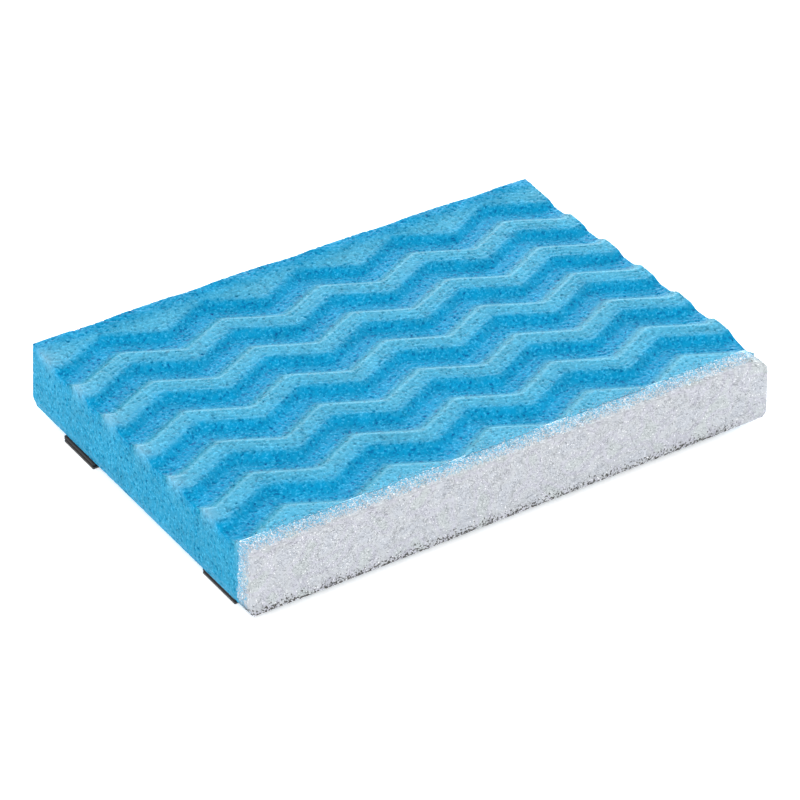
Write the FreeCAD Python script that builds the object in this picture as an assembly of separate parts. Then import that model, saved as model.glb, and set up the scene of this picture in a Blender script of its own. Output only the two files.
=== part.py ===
"""Foam filter pad: a ridged blue foam slab, a coarse white edge strip and two hook-and-loop tapes.

Frame: origin at the centre of the rectangle that the tapes stand on, +X along the long edge,
-Y towards the coarse white strip, +Z up.  Millimetres.
"""
import FreeCAD, Part
import os

# Slab of fine-pored foam
LENGTH = 245.0
SLAB_DEPTH = 160.0
SLAB_THICKNESS = 30.0

# Coarse foam strip along the front long edge, and the glue film behind it
STRIP_DEPTH = 9.2
FILM_THICKNESS = 0.2
STRIP_END_RADIUS = 5.0

# Zigzag ridges cut into the top of the slab, one cross-section repeated at the pitch
RIDGE_PITCH = 25.0
RIDGE_HEIGHT = 3.0
CREST_WIDTH = 8.5
FRONT_SLOPE_WIDTH = 4.5
FLOOR_WIDTH = 7.5
GROOVE_COUNT = 6
ZIGZAG_PERIOD = 47.3
ZIGZAG_SWING = 12.5
FIRST_CREST_TO_BACK = 5.1

# Hook-and-loop tape under the slab: a loop tape on an adhesive layer, and its hook tape
TAPE_WIDTH = 23.5
ADHESIVE_THICKNESS = 0.2
LOOP_THICKNESS = 1.6
HOOK_THICKNESS = 1.6
REAR_TAPE_TO_BACK = 24.6
FRONT_TAPE_TO_FRONT = 14.8
REAR_TAPE_INSET = 0.0
FRONT_TAPE_INSET = 1.3

# Worked out from the sizes above
DEPTH = SLAB_DEPTH + FILM_THICKNESS + STRIP_DEPTH
BACK_Y = DEPTH / 2
FRONT_Y = -DEPTH / 2
SLAB_FRONT_Y = BACK_Y - SLAB_DEPTH
SLAB_BOTTOM_Z = HOOK_THICKNESS + LOOP_THICKNESS + ADHESIVE_THICKNESS
SLAB_TOP_Z = SLAB_BOTTOM_Z + SLAB_THICKNESS
HALF_LENGTH = LENGTH / 2

# How far the groove cutters reach above the slab's top
CUTTER_HEADROOM = 2.0


def block(x_low, x_high, y_low, y_high, z_low, z_high):
    """Return a box between two corners."""
    size = (x_high - x_low, y_high - y_low, z_high - z_low)
    return Part.makeBox(*size, FreeCAD.Vector(x_low, y_low, z_low))


def zigzag_knees():
    """Return the x places where the zigzag turns, with the slab's two ends."""
    half_period = ZIGZAG_PERIOD / 2
    turns = int(HALF_LENGTH // half_period)
    inner = [half_period * turn for turn in range(-turns, turns + 1)]
    return [-HALF_LENGTH] + inner + [HALF_LENGTH]


def zigzag_offset(x):
    """Return how far a ridge line lies behind its own mean line at x."""
    along = abs(x) % ZIGZAG_PERIOD / ZIGZAG_PERIOD
    triangle = abs(2 * along - 1)
    return ZIGZAG_SWING * (triangle - 0.5)


def groove_section(x, crest_front_y):
    """Return the face that a groove fills at x, behind which the crest ends at crest_front_y."""
    y = crest_front_y + zigzag_offset(x)
    back_slope_width = RIDGE_PITCH - CREST_WIDTH - FRONT_SLOPE_WIDTH - FLOOR_WIDTH
    floor_back_y = y - FRONT_SLOPE_WIDTH
    floor_front_y = floor_back_y - FLOOR_WIDTH
    next_crest_y = floor_front_y - back_slope_width
    floor_z = SLAB_TOP_Z - RIDGE_HEIGHT
    top_z = SLAB_TOP_Z + CUTTER_HEADROOM
    outline = [
        FreeCAD.Vector(x, y, top_z),
        FreeCAD.Vector(x, y, SLAB_TOP_Z),
        FreeCAD.Vector(x, floor_back_y, floor_z),
        FreeCAD.Vector(x, floor_front_y, floor_z),
        FreeCAD.Vector(x, next_crest_y, SLAB_TOP_Z),
        FreeCAD.Vector(x, next_crest_y, top_z),
    ]
    return Part.Face(Part.makePolygon(outline + outline[:1]))


def groove(crest_front_y):
    """Return one zigzag groove as straight sheared runs from knee to knee."""
    knees = zigzag_knees()
    runs = []
    for start, end in zip(knees, knees[1:]):
        section = groove_section(start, crest_front_y)
        slant = zigzag_offset(end) - zigzag_offset(start)
        runs.append(section.extrude(FreeCAD.Vector(end - start, slant, 0)))
    return runs[0].multiFuse(runs[1:])


def foam_pad():
    """Return the slab with its zigzag grooves."""
    slab = block(-HALF_LENGTH, HALF_LENGTH, SLAB_FRONT_Y, BACK_Y, SLAB_BOTTOM_Z, SLAB_TOP_Z)
    first_crest_front_y = BACK_Y - FIRST_CREST_TO_BACK - CREST_WIDTH
    for number in range(GROOVE_COUNT):
        slab = slab.cut(groove(first_crest_front_y - number * RIDGE_PITCH))
    return slab.removeSplitter()


def coarse_strip():
    """Return the front strip, its right-hand end rounded along the top."""
    strip = block(-HALF_LENGTH, HALF_LENGTH, FRONT_Y, FRONT_Y + STRIP_DEPTH, SLAB_BOTTOM_Z, SLAB_TOP_Z)
    top_end = FreeCAD.Vector(HALF_LENGTH, FRONT_Y + STRIP_DEPTH / 2, SLAB_TOP_Z)
    rounded = [edge for edge in strip.Edges if edge.CenterOfMass.isEqual(top_end, 0.01)]
    return strip.makeFillet(STRIP_END_RADIUS, rounded)


def bond_film():
    """Return the glue film between the strip and the slab."""
    strip_back_y = FRONT_Y + STRIP_DEPTH
    top_z = SLAB_TOP_Z - RIDGE_HEIGHT
    end_x = HALF_LENGTH - STRIP_END_RADIUS
    return block(-HALF_LENGTH, end_x, strip_back_y, SLAB_FRONT_Y, SLAB_BOTTOM_Z, top_z)


def tape_layers(name, y_low, inset):
    """Return the adhesive, loop and hook layers of one tape, keyed by node name."""
    heights = [
        ("hook_tape", HOOK_THICKNESS),
        ("loop_tape", LOOP_THICKNESS),
        ("tape_adhesive", ADHESIVE_THICKNESS),
    ]
    layers = {}
    z = 0.0
    for layer, thickness in heights:
        layers[name + "_" + layer] = block(
            -HALF_LENGTH + inset, HALF_LENGTH, y_low, y_low + TAPE_WIDTH, z, z + thickness
        )
        z += thickness
    return layers


def main():
    """Write one STEP file per piece."""
    pieces = {
        "foam_pad": foam_pad(),
        "coarse_strip": coarse_strip(),
        "bond_film": bond_film(),
    }
    pieces.update(tape_layers("rear", BACK_Y - REAR_TAPE_TO_BACK - TAPE_WIDTH, REAR_TAPE_INSET))
    pieces.update(tape_layers("front", FRONT_Y + FRONT_TAPE_TO_FRONT, FRONT_TAPE_INSET))
    os.makedirs("parts", exist_ok=True)
    for node, shape in pieces.items():
        if not shape.isValid() or len(shape.Solids) != 1:
            raise RuntimeError(node + " is not one valid solid")
        shape.exportStep("parts/" + node + ".step")
        box = shape.BoundBox
        print("%-20s %7.1f x %6.1f x %5.1f mm, %8.1f mm3" % (
            node, box.XLength, box.YLength, box.ZLength, shape.Volume))


main()
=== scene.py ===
"""The looks of a foam filter pad: ridged blue foam, a coarse white edge strip and two hook-and-loop tapes.

Lengths are millimetres until a mesh is made, which turns them into metres.
"""
import math

import bpy
import numpy as np
from mathutils import Matrix, Vector, noise

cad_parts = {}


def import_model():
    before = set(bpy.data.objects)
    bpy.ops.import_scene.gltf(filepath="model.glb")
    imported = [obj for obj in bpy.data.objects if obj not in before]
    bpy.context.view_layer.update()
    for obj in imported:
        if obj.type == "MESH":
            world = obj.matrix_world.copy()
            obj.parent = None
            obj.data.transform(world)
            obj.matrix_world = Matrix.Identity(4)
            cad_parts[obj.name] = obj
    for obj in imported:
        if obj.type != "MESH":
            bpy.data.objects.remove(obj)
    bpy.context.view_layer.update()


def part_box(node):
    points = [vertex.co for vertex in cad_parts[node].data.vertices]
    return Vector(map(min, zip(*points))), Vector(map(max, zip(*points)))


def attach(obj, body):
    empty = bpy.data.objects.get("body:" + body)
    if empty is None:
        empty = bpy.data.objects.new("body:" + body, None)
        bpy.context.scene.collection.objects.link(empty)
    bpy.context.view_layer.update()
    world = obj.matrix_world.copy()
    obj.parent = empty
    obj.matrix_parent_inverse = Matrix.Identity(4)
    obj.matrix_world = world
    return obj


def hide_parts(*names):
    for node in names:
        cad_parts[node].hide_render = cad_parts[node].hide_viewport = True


MM = 0.001
BODY = "root"

# Zigzag ridges on the slab's top: the CAD part's lines with softer edges
RIDGE_PITCH = 25.0
RIDGE_HEIGHT = 3.0
CREST_WIDTH = 8.5
FRONT_SLOPE_MIDDLE = 2.5
FRONT_SLOPE_WIDTH = 6.0
BACK_SLOPE_MIDDLE = 14.4
BACK_SLOPE_WIDTH = 7.0
CREST_CROWN = 0.5
CREASE_MIDDLE = 14.0
CREASE_WIDTH = 2.8
GROOVE_COUNT = 6
ZIGZAG_PERIOD = 47.3
ZIGZAG_SWING = 12.5
FIRST_CREST_TO_BACK = 5.1
PLATEAU_RISE = 0.5
PLATEAU_RAMP = 6.0
BACK_CURL = 1.1
BACK_CURL_REACH = 14.0
BACK_CURL_END_LOSS = 0.6
END_DROP = 3.0
END_DROP_REACH = (8.0, 16.0)
END_FLARE = 1.6
# Height of the foot of the bulge at the left and at the right end
END_FLARE_FEET = (6.0, 3.0)
KNEE_SHARPNESS = 0.985
RIDGE_WANDER = 0.45
RIDGE_WANDER_LENGTH = 28.0
CUT_MARK = 0.07
CUT_MARK_PITCH = 2.3
CUT_MARK_BEND_LENGTH = 6.0
CUT_MARK_PATCH_LENGTH = 15.0
CUT_MARK_LEVEL = 0.4
SLAB_UNEVENNESS = 0.25
SLAB_UNEVENNESS_LENGTH = 45.0

# Fine blue foam
SLAB_GRID = 0.4
SLAB_EDGE_ROUNDING = 0.5
RIDGE_FADE = 12.0
TOP_LOOK_POWER = 3
# How far the painted crest sheen has faded on the sides, and the sides' painted shade
SIDE_SHEEN_FADE = 0.58
SIDE_SHADE = 0.35
PORE_SIZE = 1.1
PORE_DEPTH = 0.34
PORE_WALL = 0.28
SHALLOWEST_PORE = 0.15
# Painted light along the glued edge, and a painted highlight on the crests' left-hand tips
SEAM_LIGHT_REACH = 2.0
SEAM_LIGHT = 0.10
TIP_HIGHLIGHT = 0.7
TIP_HIGHLIGHT_REACH = 3.0
TIP_HIGHLIGHT_DROP = 2.5
# Painted sheen: the crests' lighter blue stands in for the sheen of a low back light and fades into the
# grooves' deep blue across these slopes
FRONT_FADE_MIDDLE = -0.5
FRONT_FADE_WIDTH = 9.0
BACK_FADE_MIDDLE = 15.0
BACK_FADE_WIDTH = 4.6
# The crests' colour holds the painted sheen; the grooves' colour is the foam's deep blue
CREST_SHEEN_COLOUR = (0.064, 0.352, 0.535)
GROOVE_COLOUR = (0.0, 0.266, 0.508)
CREASE_SHADE = (0.90, 0.83, 0.72)
# Painted glints added, and painted shade taken off in pits and sunk pores
GLINT_LIFT = (0.038, 0.13, 0.17)
PIT_SHADE = (0.034, 0.12, 0.16)
PORE_SHADE = (0.02, 0.09, 0.13)
# Colour of the painted light by the glued edge and of the painted highlight on the crest tips
PAINTED_LIGHT_COLOUR = (0.25, 0.50, 0.66)
BLUE_SPECULAR = 0.05
# Noises as scale per metre and detail, and the ranges they are read from or turned into
CLOUD_NOISE = (110.0, 4.0)
CLOUD_GAIN = (0.8, 1.2)
MOTTLE_NOISE = (500.0, 3.0)
MOTTLE_LEVELS = (0.3, 0.7)
MOTTLE_TINT = (-0.16, 0.28)
GLINT_NOISE = (1000.0, 1.0)
PIT_NOISE = (600.0, 2.0)
SPECK_LEVELS = (0.54, 0.70)

# Distance between one field of slow noise and the next, in lengths of the noise
FIELD_SHIFT = 17.3
# A sine of a cell's centre, multiplied up, gives each foam cell its own number
CELL_HASH = (12.9898, 78.233, 37.719, 43758.5453)

# Grain of every other material
GRAIN_DETAIL = 3.0
GRAIN_BUMP = 0.4
GRAIN_GLOSS = (0.6, 1.4)

# Coarse white foam, a jittered packing of fourteen-sided cells
CELL_SIZE = 1.2
CELL_TURN = (0.5, 0.8, 1.1)
CELL_JITTER = 0.17
# Slow bends of the packing, each with its swing and its length
CELL_WARPS = ((1.3, 6.0), (0.8, 2.6))
STRUT_RADIUS = 0.045
STRUT_UNEVENNESS = (0.75, 1.3)
ROD_SIDES = 3
SHORTEST_STRUT = 0.08
SHALLOWEST_JOINT = 0.1
STRIP_EDGE_ROUNDING = 0.7
STRIP_END_ROUNDING = 7.5
SHELL_DEPTH = 0.9
CORE_GRID = 0.32
CORE_INSET = 0.22
CORE_SEAM_LIFT = 0.14
CORE_SEAM_REACH = 3.0
CORE_OVERLAP = 0.8
CORE_CELL = 0.62
CORE_CELL_WALL = 0.45
CORE_CELL_DEPTH = 0.14
SHALLOWEST_CORE_CELL = 0.3
SLOPE_STEP = 0.05
# Whites that drift into each other, and the blue of foam by the glue
WHITE_TINTS = (
    ("cool", (0.443, 0.468, 0.512)),
    ("plain", (0.452, 0.474, 0.502)),
    ("lilac", (0.452, 0.462, 0.518)),
    ("green", (0.444, 0.478, 0.492)),
    ("blued", (0.07, 0.36, 0.56)),
)
BLUED_SLOT = len(WHITE_TINTS) - 1
SKIN_SLOT = len(WHITE_TINTS)
SHADOW_SLOT = SKIN_SLOT + 1
SPARKLE_SLOT = SKIN_SLOT + 2
BLUED_SHARE = 0.85
BLUED_REACH = 8.5
BLUED_END = (6.6, 7.6)
BLUED_STRUTS = 0.5
TINT_LENGTH = 9.0
TINT_SWING = 3.5
SKIN_SHARE = 0.1
SKIN_REACH = 0.65
# Painted shadow: dark specks near the bottom edge stand in for the shade under the strip seen through its
# cells, fewer towards the right-hand end
SHADOW_HEIGHT = 7.0
SHADOW_SPECK = 0.75
SHADOW_SCATTER = 0.15
SHADOW_SHARE = 0.14
SHADOW_END = 24.0
# Painted sparkle: brighter specks standing in for glints, more of them by the glue
SPARKLE_SPECK = 0.5
SPARKLE_LEVEL = 0.54
SPARKLE_SEAM_GAIN = 0.17
SPARKLE_SEAM_REACH = 2.5
STRAY_REACH = 4.0
STRAY_COUNT = 3000
STRAY_HUDDLE = 2.2
STRAY_RISE = (-0.25, 0.05)
STRAY_LENGTH = (0.3, 0.8)
STRAY_LEAN = 0.35

# Glue between the two foams
GLUE_CELL = 1.7
GLUE_CELL_SHIFT = 0.25
GLUE_CELL_JITTER = 0.14
GLUE_RIB_SHARE = 0.8
GLUE_RIB_RADIUS = 0.1
GLUE_RIB_UNEVENNESS = (0.6, 1.0)
GLUE_SETBACK = 0.9

# Hook-and-loop tapes
TAPE_OVERHANG = 0.5
TAPE_BACKING = 1.15
BACKING_GRID = (0.8, 0.28, 0.25)
BACKING_EDGE_ROUNDING = 0.18
WEAVE_RELIEF = 0.05
WEAVE_RIB = 1.1
WEAVE_STITCH = 2.4
WEAVE_STITCH_SHARE = 0.3
# How deep hooks and loops are rooted in their ribbon
PILE_ROOT = 0.1
HOOK_SPACING = (1.25, 1.5)
HOOK_END_MARGIN = 0.8
HOOK_EDGE_MARGINS = (1.2, 1.0)
HOOK_RADIUS = 0.09
HOOK_UNEVENNESS = (0.9, 1.1)
HOOK_SIDES = 4
HOOK_TURN = 0.25
HOOK_JITTER = 0.08
# Points of a hook: how far out in millimetres, and how far up as a share of its height
HOOK_OUTLINE = ((0.0, 0.0), (0.0, 0.45), (0.04, 0.78), (0.18, 0.97), (0.36, 0.95), (0.46, 0.74))
LOOP_COUNT = 5200
LOOP_MARGIN = 0.15
LOOP_EDGE_SHARE = 0.3
LOOP_EDGE_REACH = 0.6
LOOP_RADIUS = 0.08
LOOP_UNEVENNESS = (0.8, 1.2)
LOOP_SIDES = 3
LOOP_DROP = (0.75, 1.0)
LOOP_LEAN = 0.22
# Points of a loop: how far out in millimetres, and how far down as a share of its drop
LOOP_OUTLINE = (
    (-0.12, 0.0), (-0.34, 0.45), (-0.28, 0.85), (0.0, 1.0), (0.28, 0.85), (0.34, 0.45), (0.12, 0.0),
)
ADHESIVE_GRID = (0.8, 0.8, 0.2)
# Lumps per millimetre
ADHESIVE_LUMPS = 0.7
ADHESIVE_SETBACK = 0.25

# Camera, aimed a little off the slab's centre
CAMERA_YAW = math.radians(34.10)
CAMERA_PITCH = math.radians(33.956)
CAMERA_ROLL = math.radians(0.607)
CAMERA_DISTANCE = 1.3468
CAMERA_AIM_DROP = 0.00764
CAMERA_LENS = 149.1
SENSOR_WIDTH = 36.0
CAMERA_CLIP = (0.05, 50)

# Floor lit a little from below, as a light table is
FLOOR_GLOW = 0.45
FLOOR_REACH = 6000.0

# Soft lights in metres and watts: name, place, width and height, power, colour
LIGHTS = (
    ("backdrop", (1.05, 1.57, 0.42), (1.4, 0.55), 40.0, (0.85, 0.97, 1.0)),
    ("left", (-1.6, -0.1, 0.9), (1.0, 1.0), 3.2, (1, 1, 1)),
    ("spark", (-1.0, -1.3, 1.5), (0.3, 0.3), 8.0, (1, 1, 1)),
    ("front", (-0.2, -1.9, 0.8), (1.4, 0.9), 4.0, (1, 1, 1)),
)
WORLD_LIGHT = 1.05
# Bounces inside the coarse foam, which give it its brightness
DIFFUSE_BOUNCES = 10

SEED = 7

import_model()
random = np.random.default_rng(SEED)
noise.seed_set(SEED)


# ---------------------------------------------------------------- meshes

def node_corners(node):
    """Return a CAD node's lowest and highest corner in millimetres."""
    low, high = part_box(node)
    return np.array(low) / MM, np.array(high) / MM


def make_piece(name, points, face_groups, materials, face_materials=None):
    """Return a smooth-shaded object from points in millimetres and arrays of faces of one corner count."""
    mesh = bpy.data.meshes.new(name)
    mesh.vertices.add(len(points))
    mesh.vertices.foreach_set("co", (np.asarray(points) * MM).astype(np.float32).ravel())
    corners = np.concatenate([group.ravel() for group in face_groups]).astype(np.int32)
    sizes = np.concatenate([np.full(len(group), group.shape[1]) for group in face_groups])
    starts = np.concatenate([[0], np.cumsum(sizes)[:-1]]).astype(np.int32)
    mesh.loops.add(len(corners))
    mesh.loops.foreach_set("vertex_index", corners)
    mesh.polygons.add(len(sizes))
    mesh.polygons.foreach_set("loop_start", starts)
    if face_materials is not None:
        mesh.polygons.foreach_set("material_index", np.asarray(face_materials, np.int32))
    mesh.update(calc_edges=True)
    mesh.validate()
    mesh.shade_smooth()
    for material in materials:
        mesh.materials.append(material)
    piece = bpy.data.objects.new(name, mesh)
    bpy.context.scene.collection.objects.link(piece)
    return piece


def box_surface(low, high, spacing):
    """Return the points and the quads of a box's skin, cut into a grid."""
    counts = np.maximum(np.round((high - low) / spacing).astype(int), 1)
    sides = []
    for axis in range(3):
        first, second = (axis + 1) % 3, (axis + 2) % 3
        i, j = np.meshgrid(np.arange(counts[first]), np.arange(counts[second]), indexing="ij")
        for end in (0, 1):
            corner_steps = ((0, 0), (1, 0), (1, 1), (0, 1))
            side = np.empty(i.shape + (4, 3), np.int64)
            side[..., axis] = end * counts[axis]
            for corner, step in enumerate(corner_steps if end else corner_steps[::-1]):
                side[..., corner, first] = i + step[0]
                side[..., corner, second] = j + step[1]
            sides.append(side.reshape(-1, 4, 3))
    quads = np.concatenate(sides)
    span = counts + 1
    keys = (quads[..., 0] * span[1] + quads[..., 1]) * span[2] + quads[..., 2]
    used, quads = np.unique(keys.ravel(), return_inverse=True)
    lattice = np.stack([used // (span[1] * span[2]), used // span[2] % span[1], used % span[2]], axis=1)
    return low + lattice / counts * (high - low), quads.reshape(-1, 4)


def merged(parts):
    """Return the points and faces of several meshes as one."""
    points, faces, start = [], [], 0
    for part_points, part_faces in parts:
        points.append(part_points)
        faces.extend(group + start for group in part_faces)
        start += len(part_points)
    return np.concatenate(points), faces


def rounded(points, low, high, radius):
    """Pull the points of a box's skin onto the same box with rounded edges."""
    core = np.clip(points, low + radius, high - radius)
    outward = points - core
    length = np.linalg.norm(outward, axis=1, keepdims=True)
    return core + outward * np.minimum(1.0, radius / np.maximum(length, 1e-9))


def vertex_normals(piece):
    """Return a mesh piece's point normals."""
    normals = np.empty(len(piece.data.vertices) * 3, np.float32)
    piece.data.vertex_normals.foreach_get("vector", normals)
    return normals.reshape(-1, 3)


def move_points(piece, offsets):
    """Move a piece's points by offsets in millimetres."""
    points = np.empty(len(piece.data.vertices) * 3, np.float32)
    piece.data.vertices.foreach_get("co", points)
    piece.data.vertices.foreach_set("co", points + (offsets * MM).astype(np.float32).ravel())
    piece.data.update()


def store(piece, name, values):
    """Store a number per point, for the materials to read."""
    attribute = piece.data.attributes.new(name, "FLOAT", "POINT")
    attribute.data.foreach_set("value", np.asarray(values, np.float32))


# ---------------------------------------------------------------- surfaces

def smooth_step(value):
    """Ease from 0 to 1."""
    t = np.clip(value, 0.0, 1.0)
    return t * t * (3 - 2 * t)


def zigzag_offset(x):
    """Return how far a ridge line lies behind its own mean line at x, with softened knees."""
    return ZIGZAG_SWING * np.arcsin(KNEE_SHARPNESS * np.cos(2 * math.pi * x / ZIGZAG_PERIOD)) / math.pi


def wander(points, length, field):
    """Return slow noise from -1 to 1 over the points, another one for each field number."""
    return np.array([noise.noise(p) for p in (points / length + field * FIELD_SHIFT).tolist()])


def cut_top(points, back_y):
    """Return, for each point, how deep the cut top lies, how near a crease is and how far its painted sheen
    has faded to deep blue.
    """
    x, y = points[:, 0], points[:, 1]
    run = back_y - FIRST_CREST_TO_BACK - CREST_WIDTH + zigzag_offset(x) - y
    run += RIDGE_WANDER * wander(points, RIDGE_WANDER_LENGTH, 1)
    depth = np.zeros_like(run)
    crease = np.zeros_like(run)
    sheen_fade = np.zeros_like(run)
    for number in range(GROOVE_COUNT):
        start = number * RIDGE_PITCH
        down = smooth_step((run - start - FRONT_SLOPE_MIDDLE) / FRONT_SLOPE_WIDTH + 0.5)
        up = smooth_step((run - start - BACK_SLOPE_MIDDLE) / BACK_SLOPE_WIDTH + 0.5)
        crown = smooth_step((run - start) / CREST_WIDTH + 1)
        depth += CREST_CROWN * (crown - up) + (RIDGE_HEIGHT - PLATEAU_RISE - CREST_CROWN) * (down - up)
        crease += np.exp(-((run - start - CREASE_MIDDLE) / CREASE_WIDTH) ** 2)
        sheen_fade += smooth_step((run - start - FRONT_FADE_MIDDLE) / FRONT_FADE_WIDTH + 0.5)
        sheen_fade -= smooth_step((run - start - BACK_FADE_MIDDLE) / BACK_FADE_WIDTH + 0.5)
    depth += PLATEAU_RISE * smooth_step((run + CREST_WIDTH) / PLATEAU_RAMP + 1)
    marks = np.cos(2 * math.pi * run / CUT_MARK_PITCH + 2 * wander(points, CUT_MARK_BEND_LENGTH, 2))
    patches = wander(points, CUT_MARK_PATCH_LENGTH, 3) + CUT_MARK_LEVEL
    return depth + CUT_MARK * marks * patches, crease, sheen_fade


def back_curl(points, low, high):
    """Return how far the slab's top rises towards the middle of its back edge."""
    along = np.abs(2 * points[:, 0] / (high[0] - low[0])) ** 4
    height = BACK_CURL * (1 - BACK_CURL_END_LOSS * along)
    return height * smooth_step((points[:, 1] - high[1]) / BACK_CURL_REACH + 1)


def end_drop(points, low, high):
    """Return how far the top drops at the right-hand end of the slab's glued edge."""
    to_end = smooth_step((points[:, 0] - high[0]) / END_DROP_REACH[0] + 1)
    return END_DROP * to_end ** 2 * smooth_step(1 - (points[:, 1] - low[1]) / END_DROP_REACH[1])


def flared(points, low, high):
    """Return the points of a block whose two ends bulge out above their bottom edge."""
    fall = (high[2] - points[:, 2:]) / (high[2] - low[2])
    foot = np.where(points[:, :1] < 0, *END_FLARE_FEET)
    fall *= smooth_step((points[:, 2:] - low[2]) / foot)
    widening = np.array([2 * END_FLARE / (high[0] - low[0]), 0, 0])
    return points * (1 + fall * widening)


def pores(points, size):
    """Return how open the foam cell at each point is, 0 on its wall, and a number from 0 to 1 per cell."""
    openness = np.empty(len(points))
    tone = np.empty(len(points))
    for index, point in enumerate((points / size).tolist()):
        distances, centres = noise.voronoi(point)
        openness[index] = distances[1] - distances[0]
        x, y, z = centres[0]
        tone[index] = x * CELL_HASH[0] + y * CELL_HASH[1] + z * CELL_HASH[2]
    return openness, np.sin(tone) * CELL_HASH[3] % 1.0


# ---------------------------------------------------------------- materials

def new_material(name, roughness, colour):
    """Return a node material with its principled shader."""
    material = bpy.data.materials.new(name)
    material.use_nodes = True
    material.diffuse_color = (*colour, 1.0)
    shader = material.node_tree.nodes["Principled BSDF"]
    shader.inputs["Base Color"].default_value = (*colour, 1.0)
    shader.inputs["Roughness"].default_value = roughness
    return material, shader


def mixed(material, blend, share, first, second):
    """Return the output of a colour mix whose share and colours are numbers, colours or outputs."""
    mix = material.node_tree.nodes.new("ShaderNodeMix")
    mix.data_type = "RGBA"
    mix.blend_type = blend
    mix.clamp_result = True
    for index, value in ((0, share), (6, first), (7, second)):
        if isinstance(value, bpy.types.NodeSocket):
            material.node_tree.links.new(value, mix.inputs[index])
        elif index == 0:
            mix.inputs[index].default_value = value
        else:
            mix.inputs[index].default_value = (*value, 1.0)
    return mix.outputs[2]


def attribute(material, name):
    """Return the output that reads a number stored on the points."""
    node = material.node_tree.nodes.new("ShaderNodeAttribute")
    node.attribute_name = name
    return node.outputs["Fac"]


def remapped(material, value, source=(0.0, 1.0), target=(0.0, 1.0)):
    """Return the output that maps a source range to a target range and stays within it."""
    node = material.node_tree.nodes.new("ShaderNodeMapRange")
    material.node_tree.links.new(value, node.inputs["Value"])
    for name, level in zip(("From Min", "From Max", "To Min", "To Max"), (*source, *target)):
        node.inputs[name].default_value = level
    return node.outputs["Result"]


def noise_field(material, scale, detail):
    """Return the output of noise laid over the piece's own coordinates."""
    nodes = material.node_tree.nodes
    texture = nodes.new("ShaderNodeTexNoise")
    texture.inputs["Scale"].default_value = scale
    texture.inputs["Detail"].default_value = detail
    place = nodes.new("ShaderNodeTexCoord").outputs["Object"]
    material.node_tree.links.new(place, texture.inputs["Vector"])
    return texture.outputs["Fac"]


def summed(material, first, second):
    """Return the output that adds two outputs, kept within 0..1."""
    node = material.node_tree.nodes.new("ShaderNodeMath")
    node.operation = "ADD"
    node.use_clamp = True
    material.node_tree.links.new(first, node.inputs[0])
    material.node_tree.links.new(second, node.inputs[1])
    return node.outputs["Value"]


def blue_foam_material():
    """Return the fine foam: painted sheen on the crests fading into deep blue grooves, cloudy patches,
    painted glints, and painted shade in pits and pores.
    """
    material, shader = new_material("blue_foam", 0.5, GROOVE_COLOUR)
    shader.inputs["Specular IOR Level"].default_value = BLUE_SPECULAR
    cloud = remapped(material, noise_field(material, *CLOUD_NOISE), target=CLOUD_GAIN)
    mottle = remapped(material, noise_field(material, *MOTTLE_NOISE), MOTTLE_LEVELS, MOTTLE_TINT)
    glints = remapped(material, noise_field(material, *GLINT_NOISE), SPECK_LEVELS)
    pit_shade = remapped(material, noise_field(material, *PIT_NOISE), SPECK_LEVELS)
    # Mix the painted crest sheen into the grooves' deep blue, with random mottling
    sheen_fade = summed(material, attribute(material, "sheen_fade"), mottle)
    colour = mixed(material, "MIX", sheen_fade, CREST_SHEEN_COLOUR, GROOVE_COLOUR)
    colour = mixed(material, "MULTIPLY", 1.0, colour, cloud)
    colour = mixed(material, "MULTIPLY", attribute(material, "shade"), colour, CREASE_SHADE)
    # Painted light by the glued edge and painted highlight on the crest tips
    colour = mixed(material, "MIX", attribute(material, "painted_light"), colour, PAINTED_LIGHT_COLOUR)
    # Painted glints, then painted shade in pits and in sunk pores
    colour = mixed(material, "ADD", glints, colour, GLINT_LIFT)
    colour = mixed(material, "SUBTRACT", pit_shade, colour, PIT_SHADE)
    colour = mixed(material, "SUBTRACT", attribute(material, "pore"), colour, PORE_SHADE)
    material.node_tree.links.new(colour, shader.inputs["Base Color"])
    return material


def grained_material(name, roughness, colour, scale, contrast, relief):
    """Return a material whose shade, roughness and surface vary with noise, by a relief in millimetres."""
    material, shader = new_material(name, roughness, colour)
    links = material.node_tree.links
    grain = noise_field(material, scale, GRAIN_DETAIL)
    shade = remapped(material, grain, target=(1 - contrast, 1 + contrast))
    links.new(mixed(material, "MULTIPLY", 1.0, colour, shade), shader.inputs["Base Color"])
    gloss = remapped(material, grain, target=[share * roughness for share in GRAIN_GLOSS])
    links.new(gloss, shader.inputs["Roughness"])
    bump = material.node_tree.nodes.new("ShaderNodeBump")
    bump.inputs["Strength"].default_value = GRAIN_BUMP
    bump.inputs["Distance"].default_value = relief * MM
    links.new(grain, bump.inputs["Height"])
    links.new(bump.outputs["Normal"], shader.inputs["Normal"])
    return material


def white_foam_materials():
    """Return the coarse foam's whites, its glossy skins, its painted shadow and its painted sparkle, in
    slot order.
    """
    # Glossy skins, then the near-black painted shadow, then the bright painted sparkle
    others = (
        ("skin", 0.12, (0.52, 0.54, 0.58), 500.0, 0.1, 0.02),
        ("painted_shadow", 0.5, (0.05, 0.05, 0.045), 900.0, 0.8, 0.1),
        ("painted_sparkle", 0.2, (0.85, 0.86, 0.88), 900.0, 0.05, 0.05),
    )
    whites = [(name, 0.4, colour, 1500.0, 0.08, 0.04) for name, colour in WHITE_TINTS]
    return [grained_material("white_foam_" + name, *look) for name, *look in (*whites, *others)]


def glue_material(name, colour):
    """Return set glue: glossy and slightly lumpy."""
    return grained_material(name, 0.25, colour, 600.0, 0.15, 0.08)


def tape_material(name, roughness, colour):
    """Return a black tape's fibre, lighter and darker in places."""
    return grained_material(name, roughness, colour, 1500.0, 0.7, 0.05)


# ---------------------------------------------------------------- pieces

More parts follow.
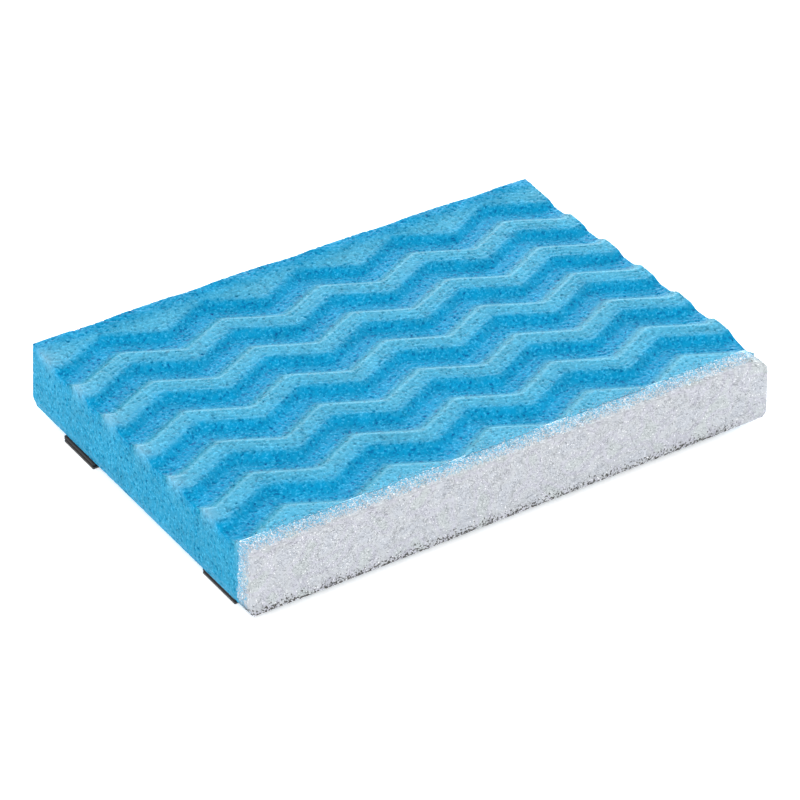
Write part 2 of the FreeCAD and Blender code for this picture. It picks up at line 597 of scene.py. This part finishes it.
def slab_painted_light(points, low, high, sheen_fade):
    """Return how far the slab is whitened by painted light along the glued edge and by a painted highlight
    at the left-hand tips of its crests.
    """
    seam = SEAM_LIGHT * np.exp((low[1] - points[:, 1]) / SEAM_LIGHT_REACH)
    tip = np.exp((low[0] - points[:, 0]) / TIP_HIGHLIGHT_REACH + (points[:, 2] - high[2]) / TIP_HIGHLIGHT_DROP)
    tip *= TIP_HIGHLIGHT * (1 - sheen_fade)
    return np.clip(seam + tip, 0, 1)


def foam_pad():
    """Return the blue slab: rounded edges, zigzag ridges and cut-open pores all over."""
    low, high = node_corners("foam_pad")
    points, quads = box_surface(low, high, SLAB_GRID)
    glued_side = np.array([0, 2 * SLAB_EDGE_ROUNDING, 0])
    points = rounded(points, low - glued_side, high, SLAB_EDGE_ROUNDING)
    share = np.clip((points[:, 2] - high[2] + RIDGE_FADE) / RIDGE_FADE, 0.0, 1.0)
    depth, crease, sheen_fade = cut_top(points, high[1])
    unevenness = SLAB_UNEVENNESS * wander(points, SLAB_UNEVENNESS_LENGTH, 4)
    rise = unevenness - depth + back_curl(points, low, high) - end_drop(points, low, high)
    points[:, 2] += rise * share
    points = flared(points, low, high)
    piece = make_piece("foam_pad_surface", points, [quads], [blue_foam_material()])
    openness, tone = pores(points, PORE_SIZE)
    sunk = smooth_step(openness / PORE_WALL) * (SHALLOWEST_PORE + (1 - SHALLOWEST_PORE) * tone ** 3)
    move_points(piece, -vertex_normals(piece) * (sunk * PORE_DEPTH)[:, None])
    # No painted sheen on the plateau by the back edge
    plateau = smooth_step((points[:, 1] - high[1]) / (2 * PLATEAU_RAMP) + 1)
    sheen_fade = np.maximum(sheen_fade, plateau)
    top_look = share ** TOP_LOOK_POWER
    store(piece, "pore", sunk)
    store(piece, "shade", SIDE_SHADE + (crease - SIDE_SHADE) * top_look)
    # How far the painted crest sheen has faded, with a set share on the sides
    store(piece, "sheen_fade", SIDE_SHEEN_FADE + (sheen_fade - SIDE_SHEEN_FADE) * top_look)
    # Painted light by the glued edge and painted highlight on the crest tips
    store(piece, "painted_light", slab_painted_light(points, low, high, sheen_fade))
    return piece


def cell_struts():
    """Return the two corners of each strut of a fourteen-sided cell, in quarters of its size."""
    corners = [
        (a, b, c)
        for a in range(-2, 3) for b in range(-2, 3) for c in range(-2, 3)
        if sorted((abs(a), abs(b), abs(c))) == [0, 1, 2]
    ]
    struts = [
        (first, second)
        for first in corners for second in corners
        if first < second and sorted(abs(p - q) for p, q in zip(first, second)) == [0, 1, 1]
    ]
    return np.array(struts)


def cell_packing(low, high, size):
    """Return the joints of a jittered packing of cells that covers a box, and each strut's two joints."""
    about_x, about_y, about_z = (Matrix.Rotation(turn, 3, axis) for turn, axis in zip(CELL_TURN, "XYZ"))
    turn = np.array(about_x @ about_y @ about_z)
    middle = (low + high) / 2
    reach = int(np.linalg.norm(high - low) / 2 / size + 1)
    steps = np.arange(-reach, reach + 1)
    grid = np.stack(np.meshgrid(steps, steps, steps, indexing="ij"), axis=-1).reshape(-1, 3)
    # Centres of a body-centred grid, in quarters of a cell
    centres = np.concatenate([grid * 4, grid * 4 + 2])
    places = centres * (size / 4) @ turn.T + middle
    centres = centres[np.all((places > low - size) & (places < high + size), axis=1)]
    ends = (centres[:, None, None] + cell_struts()).reshape(-1, 6)
    ends = np.unique(ends, axis=0).reshape(-1, 3)
    spots, struts = np.unique(ends, axis=0, return_inverse=True)
    joints = spots * (size / 4)
    joints = joints + random.normal(0, CELL_JITTER * size, joints.shape)
    joints = joints @ turn.T + middle
    shift = np.zeros_like(joints)
    for swing, length in CELL_WARPS:
        shift += swing * np.array([noise.noise_vector(p) for p in (joints / length).tolist()])
    return joints + shift, struts.reshape(-1, 2)


def strip_distance(points, low, high):
    """Return how far each point lies outside the coarse strip's rounded outline, negative inside."""
    behind_glue = points[:, 1] - high[1]
    high = high + np.array([0, 2 * STRIP_EDGE_ROUNDING, 0])
    centre, half = (low + high) / 2, (high - low) / 2
    local = points - centre
    away = np.abs(local) - half + STRIP_EDGE_ROUNDING
    body = np.linalg.norm(np.maximum(away, 0), axis=1) + np.minimum(away.max(axis=1), 0)
    body = np.maximum(body - STRIP_EDGE_ROUNDING, behind_glue)
    from_end = np.minimum(half[0] - local[:, 0] - STRIP_END_ROUNDING, 0)
    from_top = np.minimum(half[2] - local[:, 2] - STRIP_END_ROUNDING, 0)
    return np.maximum(body, np.hypot(from_end, from_top) - STRIP_END_ROUNDING)


def tubes(paths, radii, sides, across_hint):
    """Return the points and faces of a closed rod along each path, paths being (rods, points, 3)."""
    along = np.gradient(paths, axis=1)
    along /= np.linalg.norm(along, axis=2, keepdims=True)
    across = np.cross(along, across_hint[:, None])
    across /= np.linalg.norm(across, axis=2, keepdims=True)
    upward = np.cross(along, across)
    angle = (np.arange(sides) * 2 * math.pi / sides)[:, None]
    ring = np.cos(angle) * across[:, :, None] + np.sin(angle) * upward[:, :, None]
    points = (paths[:, :, None] + radii[:, None, None, None] * ring).reshape(-1, 3)
    rods, stations = paths.shape[:2]
    first = (np.arange(rods) * stations * sides)[:, None]
    quads = [
        [row * sides + k, row * sides + (k + 1) % sides,
         (row + 1) * sides + (k + 1) % sides, (row + 1) * sides + k]
        for row in range(stations - 1) for k in range(sides)
    ]
    skin = np.concatenate([first + np.array([quad]) for quad in quads])
    start_cap = first + np.arange(sides)[::-1]
    end_cap = first + (stations - 1) * sides + np.arange(sides)
    return points, [skin, start_cap, end_cap]


def stray_struts(low, high):
    """Return the paths of loose ends of the coarse foam that cling to the glued edge of the slab."""
    slab_high = node_corners("foam_pad")[1]
    place = np.stack([
        random.uniform(low[0] + 1, high[0] - END_DROP_REACH[0], STRAY_COUNT),
        high[1] + STRAY_REACH * random.uniform(0, 1, STRAY_COUNT) ** STRAY_HUDDLE,
        np.full(STRAY_COUNT, slab_high[2]),
    ], axis=1)
    depth = cut_top(place, slab_high[1])[0]
    place[:, 2] += SLAB_UNEVENNESS * wander(place, SLAB_UNEVENNESS_LENGTH, 4) - depth
    place[:, 2] += random.uniform(*STRAY_RISE, STRAY_COUNT)
    turn = random.uniform(0, 2 * math.pi, STRAY_COUNT)
    lean = random.uniform(-STRAY_LEAN, STRAY_LEAN, STRAY_COUNT)
    length = random.uniform(*STRAY_LENGTH, STRAY_COUNT)
    half = np.stack([np.cos(turn), np.sin(turn), lean], axis=1) * length[:, None] / 2
    return np.stack([place - half, place + half], axis=1)


def strut_skins(paths, owners):
    """Return glossy skins stretched between some pairs of struts that leave the same joint."""
    order = np.argsort(owners, kind="stable")
    first, second = order[:-1], order[1:]
    chosen = (owners[first] == owners[second]) & (random.uniform(0, 1, len(first)) < SKIN_SHARE)
    first, second = first[chosen], second[chosen]
    joint = paths[first, 0]
    one = joint + (paths[first, 1] - joint) * SKIN_REACH
    other = joint + (paths[second, 1] - joint) * SKIN_REACH
    points = np.stack([joint, one, other], axis=1).reshape(-1, 3)
    return points, [np.arange(len(points)).reshape(-1, 3)]


def strip_core(low, high):
    """Return the deeper cells of the coarse foam, as one surface just inside the strip's cut faces."""
    reach = high + np.array([0, CORE_INSET + CORE_OVERLAP, 0])
    points, quads = box_surface(low, reach, CORE_GRID)
    behind = np.maximum(high[1] - points[:, 1], 0)
    inset = CORE_INSET - CORE_SEAM_LIFT * np.exp(-behind / CORE_SEAM_REACH)
    openness, tone = pores(points, CORE_CELL)
    sunk = SHALLOWEST_CORE_CELL + (1 - SHALLOWEST_CORE_CELL) * tone
    sunk *= CORE_CELL_DEPTH * smooth_step(openness / CORE_CELL_WALL)
    # Two steps bring the points onto the inset surface, and a third sinks the cells
    for depth in (inset, inset, inset + sunk):
        outside = strip_distance(points, low, reach)
        ahead = [strip_distance(points + step, low, reach) for step in np.eye(3) * SLOPE_STEP]
        slope = np.stack(ahead, axis=1) - outside[:, None]
        slope /= np.maximum(np.linalg.norm(slope, axis=1, keepdims=True), 1e-9)
        points = points - slope * (outside + depth)[:, None]
    return points, [quads]


def white_slots(places, low, high, blued_share):
    """Return a material number per place in the coarse strip: blued by the glue, painted sparkle, and
    painted shadow specks at the bottom.
    """
    drift = 2 + TINT_SWING * wander(places, TINT_LENGTH, 5)
    slots = np.floor(drift + random.uniform(-0.5, 0.5, len(places)))
    slots = np.clip(slots, 0, BLUED_SLOT - 1)
    behind = high[1] - places[:, 1]
    fading = 1 - smooth_step((behind - BLUED_END[0]) / (BLUED_END[1] - BLUED_END[0]))
    blued = blued_share * np.minimum(1 - behind / BLUED_REACH, 1) * fading
    slots[random.uniform(0, 1, len(places)) < blued] = BLUED_SLOT
    # Painted sparkle, more of it by the glue
    by_glue = np.exp(-np.maximum(behind, 0) / SPARKLE_SEAM_REACH)
    sparkling = wander(places, SPARKLE_SPECK, 7) + SPARKLE_SEAM_GAIN * by_glue > SPARKLE_LEVEL
    slots[sparkling] = SPARKLE_SLOT
    # Painted shadow: dark specks towards the bottom edge
    height = (places[:, 2] - low[2]) / SHADOW_HEIGHT
    near = height < 1
    shadow_free_end = smooth_step((places[near, 0] - high[0]) / SHADOW_END + 1)
    specks = wander(places[near], SHADOW_SPECK, 6) - shadow_free_end
    specks += random.uniform(-SHADOW_SCATTER, SHADOW_SCATTER, near.sum())
    slots[near] = np.where(specks > height[near] - SHADOW_SHARE, SHADOW_SLOT, slots[near])
    return slots


def cut_struts(joints, struts, low, high):
    """Return the paths of the struts near the strip's surface, cut flush, and their inner joints."""
    outside = strip_distance(joints, low, high)
    swap = outside[struts[:, 0]] > outside[struts[:, 1]]
    struts[swap] = struts[swap][:, ::-1]
    kept = (outside[struts[:, 0]] < -SHALLOWEST_JOINT) & (outside[struts[:, 1]] > -SHELL_DEPTH)
    struts = struts[kept]
    inner, outer = outside[struts[:, 0]], outside[struts[:, 1]]
    share = np.where(outer > 0, inner / (inner - outer), 1.0)
    starts, ends = joints[struts[:, 0]], joints[struts[:, 1]]
    ends = starts + (ends - starts) * share[:, None]
    long_enough = np.linalg.norm(ends - starts, axis=1) > SHORTEST_STRUT
    return np.stack([starts, ends], axis=1)[long_enough], struts[long_enough, 0]


def coarse_strip():
    """Return the white strip: a layer of open cells, cut flush, over a closed inner surface."""
    low, high = node_corners("coarse_strip")
    high[2] -= PLATEAU_RISE
    paths, owners = cut_struts(*cell_packing(low, high, CELL_SIZE), low, high)
    skins = strut_skins(paths, owners)
    paths = np.concatenate([paths, stray_struts(low, high)])
    radii = STRUT_RADIUS * random.uniform(*STRUT_UNEVENNESS, len(paths))
    rods = tubes(paths, radii, ROD_SIDES, random.normal(0, 1, (len(paths), 3)))
    strut_slots = white_slots(paths.mean(axis=1), low, high, BLUED_SHARE * BLUED_STRUTS)
    slots = [np.tile(strut_slots, len(group) // len(paths)) for group in rods[1]]
    slots.append(np.full(len(skins[1][0]), SKIN_SLOT))
    core = strip_core(low, high)
    slots.append(white_slots(core[0][core[1][0]].mean(axis=1), low, high, BLUED_SHARE))
    points, faces = merged([rods, skins, core])
    points = flared(points, low, high)
    return make_piece("coarse_strip_cells", points, faces, white_foam_materials(), np.concatenate(slots))


def glue_web():
    """Return the glue between the foams: an uneven net of thin ribs."""
    low, high = node_corners("bond_film")
    high[2] = node_corners("coarse_strip")[1][2] - PLATEAU_RISE - GLUE_SETBACK
    middle = (low[1] + high[1]) / 2
    row_height = GLUE_CELL * math.sqrt(3) / 2
    columns = int((high[0] - low[0]) / GLUE_CELL)
    rows = int((high[2] - low[2]) / row_height)
    column, row = np.meshgrid(np.arange(columns), np.arange(rows), indexing="ij")
    x = low[0] + (column + 0.5 + GLUE_CELL_SHIFT * (-1.0) ** row) * GLUE_CELL
    z = low[2] + (row + 0.5) * row_height
    knots = np.stack([x, np.full_like(x, middle), z], axis=-1)
    knots[..., 0] += random.normal(0, GLUE_CELL_JITTER * GLUE_CELL, x.shape)
    knots[..., 2] += random.normal(0, GLUE_CELL_JITTER * GLUE_CELL, x.shape)
    knots = np.clip(knots, low + GLUE_RIB_RADIUS, high - GLUE_RIB_RADIUS)
    knots[..., 1] = middle
    level = np.stack([knots[:-1], knots[1:]], axis=2).reshape(-1, 2, 3)
    upright = np.stack([knots[:, :-1], knots[:, 1:]], axis=2).reshape(-1, 2, 3)
    paths = np.concatenate([level, upright])
    paths = paths[random.uniform(0, 1, len(paths)) < GLUE_RIB_SHARE]
    radii = GLUE_RIB_RADIUS * random.uniform(*GLUE_RIB_UNEVENNESS, len(paths))
    points, faces = tubes(paths, radii, ROD_SIDES, random.normal(0, 1, (len(paths), 3)))
    return make_piece("bond_film_ribs", points, faces, [glue_material("bond_glue", (0.75, 0.78, 0.80))])


def tape_corners(node):
    """Return a tape layer's corners, reaching as far out as the slab's ends do."""
    low, high = node_corners(node)
    reach = np.array([TAPE_OVERHANG, 0, 0])
    return low - reach, high + reach


def adhesive_layer(node):
    """Return one tape's adhesive: a thin dark layer with an uneven edge."""
    low, high = node_corners(node)
    points, quads = box_surface(low, high, np.array(ADHESIVE_GRID))
    lumps = np.array([noise.noise(p) for p in (points * ADHESIVE_LUMPS).tolist()])
    inward = lumps * ADHESIVE_SETBACK + ADHESIVE_SETBACK
    middle = (low + high) / 2
    half = (high - low) / 2
    scale = 1 - np.stack([inward / half[0], inward / half[1], inward * 0], axis=1)
    points = middle + (points - middle) * scale
    return make_piece(node + "_layer", points, [quads], [glue_material(node + "_glue", (0.03, 0.03, 0.03))])


def backing(low, high):
    """Return a ribbed woven ribbon's points and quads."""
    points, quads = box_surface(low, high, np.array(BACKING_GRID))
    points = rounded(points, low, high, BACKING_EDGE_ROUNDING)
    rib = np.cos(2 * math.pi * (points[:, 1] - low[1]) / WEAVE_RIB)
    side = np.round((points[:, 1] - low[1]) / WEAVE_RIB) * math.pi
    stitch = np.sin(2 * math.pi * points[:, 0] / WEAVE_STITCH + side)
    level = (points[:, 2] - (low[2] + high[2]) / 2) / (high[2] - low[2]) * 2
    weave = 1 - WEAVE_STITCH_SHARE + WEAVE_STITCH_SHARE * stitch
    points[:, 2] -= level * WEAVE_RELIEF * (1 - rib * weave)
    return points, [quads]


def edge_heavy(start, end):
    """Return a random place per loop between start and end, a share of them close to the two edges."""
    place = random.uniform(start, end, LOOP_COUNT)
    edge = np.where(random.uniform(0, 1, LOOP_COUNT) < 0.5, start, end)
    inward = np.sign(place - edge) * random.uniform(0, LOOP_EDGE_REACH, LOOP_COUNT)
    return np.where(random.uniform(0, 1, LOOP_COUNT) < LOOP_EDGE_SHARE, edge + inward, place)


def pile_loops(low, high, root_height):
    """Return the loops of a pile that hangs from the root height to near the bottom of a box."""
    root = np.stack([
        edge_heavy(low[0] + LOOP_MARGIN, high[0] - LOOP_MARGIN),
        edge_heavy(low[1] + LOOP_MARGIN, high[1] - LOOP_MARGIN),
        np.full(LOOP_COUNT, root_height),
    ], axis=1)
    turn = random.uniform(0, 2 * math.pi, LOOP_COUNT)
    facing = np.stack([np.cos(turn), np.sin(turn), np.zeros(LOOP_COUNT)], axis=1)
    drop = (root_height - low[2]) * random.uniform(*LOOP_DROP, LOOP_COUNT)
    lean = random.normal(0, LOOP_LEAN, (LOOP_COUNT, 1)) * facing[:, [1, 0, 2]]
    stations = []
    for out, down in LOOP_OUTLINE:
        fall = np.stack([np.zeros(LOOP_COUNT), np.zeros(LOOP_COUNT), -down * drop], axis=1)
        stations.append(root + facing * out + lean * down + fall)
    paths = np.stack(stations, axis=1)
    paths[..., :2] = np.clip(paths[..., :2], low[:2] + LOOP_RADIUS, high[:2] - LOOP_RADIUS)
    hint = np.stack([-facing[:, 1], facing[:, 0], np.full(LOOP_COUNT, 0.01)], axis=1)
    radii = LOOP_RADIUS * random.uniform(*LOOP_UNEVENNESS, LOOP_COUNT)
    return tubes(paths, radii, LOOP_SIDES, hint)


def loop_tape(node):
    """Return a loop tape: a woven ribbon, glued on above, with a pile of small loops hanging from it."""
    low, high = tape_corners(node)
    ribbon_low = np.array([low[0], low[1], high[2] - TAPE_BACKING])
    parts = backing(ribbon_low, high), pile_loops(low, high, ribbon_low[2] + PILE_ROOT)
    material = tape_material(node + "_fabric", 0.75, (0.014, 0.013, 0.013))
    return make_piece(node + "_pile", *merged(parts), [material])


def hook_rows(low, high, root_height):
    """Return the rows of hooks that stand from the root height to near the top of a box."""
    xs = np.arange(low[0] + HOOK_END_MARGIN, high[0] - HOOK_END_MARGIN, HOOK_SPACING[0])
    ys = np.arange(low[1] + HOOK_EDGE_MARGINS[0], high[1] - HOOK_EDGE_MARGINS[1], HOOK_SPACING[1])
    x, y = (grid.ravel() for grid in np.meshgrid(xs, ys, indexing="ij"))
    count = len(x)
    turn = np.where(np.round((y - low[1]) / HOOK_SPACING[1]) % 2, 0.0, math.pi)
    turn = turn + random.normal(0, HOOK_TURN, count)
    facing = np.stack([np.cos(turn), np.sin(turn), np.zeros(count)], axis=1)
    x = x + random.normal(0, HOOK_JITTER, count)
    y = y + random.normal(0, HOOK_JITTER, count)
    rise = high[2] - root_height
    stations = []
    for out, up in HOOK_OUTLINE:
        foot = np.stack([x, y, np.full(count, root_height + up * rise)], axis=1)
        stations.append(foot + facing * out)
    paths = np.stack(stations, axis=1)
    hint = np.stack([-facing[:, 1], facing[:, 0], np.zeros(count)], axis=1)
    return tubes(paths, HOOK_RADIUS * random.uniform(*HOOK_UNEVENNESS, count), HOOK_SIDES, hint)


def hook_tape(node):
    """Return a hook tape: a woven ribbon below with rows of small hooks that reach up into the pile."""
    low, high = tape_corners(node)
    ribbon_high = np.array([high[0], high[1], low[2] + TAPE_BACKING])
    parts = backing(low, ribbon_high), hook_rows(low, high, ribbon_high[2] - PILE_ROOT)
    material = tape_material(node + "_plastic", 0.4, (0.018, 0.017, 0.017))
    return make_piece(node + "_hooks", *merged(parts), [material])


# ---------------------------------------------------------------- stage

def area_light(name, place, size, power, colour):
    """Add a soft light, its size being (width, height) in metres, that points at the origin."""
    data = bpy.data.lights.new(name, "AREA")
    data.shape = "RECTANGLE"
    data.size, data.size_y = size
    data.energy = power
    light = bpy.data.objects.new(name, data)
    light.data.color = colour
    light.location = place
    light.rotation_euler = (-Vector(place)).to_track_quat("-Z", "Y").to_euler()
    bpy.context.scene.collection.objects.link(light)


def camera(centre):
    """Add the camera that looks down on the front left corner."""
    forward = Vector((
        math.sin(CAMERA_YAW) * math.cos(CAMERA_PITCH),
        math.cos(CAMERA_YAW) * math.cos(CAMERA_PITCH),
        -math.sin(CAMERA_PITCH),
    ))
    level_right = Vector((math.cos(CAMERA_YAW), -math.sin(CAMERA_YAW), 0))
    level_up = level_right.cross(forward)
    right = math.cos(CAMERA_ROLL) * level_right + math.sin(CAMERA_ROLL) * level_up
    up = right.cross(forward)
    place = centre - CAMERA_AIM_DROP * up - CAMERA_DISTANCE * forward
    data = bpy.data.cameras.new("camera")
    data.lens = CAMERA_LENS
    data.sensor_width = SENSOR_WIDTH
    data.clip_start, data.clip_end = CAMERA_CLIP
    eye = bpy.data.objects.new("camera", data)
    axes = Matrix((right, up, -forward)).transposed().to_4x4()
    eye.matrix_world = Matrix.Translation(place) @ axes
    bpy.context.scene.collection.objects.link(eye)
    bpy.context.scene.camera = eye


def floor():
    """Add the plain pale floor."""
    corners = FLOOR_REACH * np.array([(-1, -1, 0), (1, -1, 0), (1, 1, 0), (-1, 1, 0)])
    material, shader = new_material("pale_floor", 0.9, (0.93, 0.93, 0.93))
    shader.inputs["Emission Color"].default_value = (1, 1, 1, 1)
    shader.inputs["Emission Strength"].default_value = FLOOR_GLOW
    ground = make_piece("floor", corners, [np.array([[0, 1, 2, 3]])], [material])


def world():
    """Fill the surroundings with even white light."""
    sky = bpy.data.worlds.new("studio")
    bpy.context.scene.world = sky
    sky.use_nodes = True
    background = sky.node_tree.nodes["Background"]
    background.inputs["Color"].default_value = (1, 1, 1, 1)
    background.inputs["Strength"].default_value = WORLD_LIGHT


corners = [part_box(node) for node in ("foam_pad", "coarse_strip")]
block_low = np.min([low for low, _ in corners], axis=0)
block_high = np.max([high for _, high in corners], axis=0)
camera(Vector((block_low + block_high) / 2))
floor()
world()
for light in LIGHTS:
    area_light(*light)
bpy.context.scene.cycles.diffuse_bounces = DIFFUSE_BOUNCES
bpy.context.scene.view_settings.view_transform = "Standard"

PIECES = (
    (foam_pad, "foam_pad", "blue_foam", 1.0),
    (coarse_strip, "coarse_strip", "white_foam", 1.0),
    (glue_web, "bond_film", "clear_glue", None),
)
for build, node, slot, fill in PIECES:
    piece = build()
    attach(piece, BODY)
    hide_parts(node)

for side in ("rear", "front"):
    layers = (
        (adhesive_layer, "_tape_adhesive", "clear_glue"),
        (loop_tape, "_loop_tape", "loop_pile"),
        (hook_tape, "_hook_tape", "hook_tape"),
    )
    for build, suffix, slot in layers:
        piece = build(side + suffix)
        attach(piece, BODY)
        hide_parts(side + suffix)
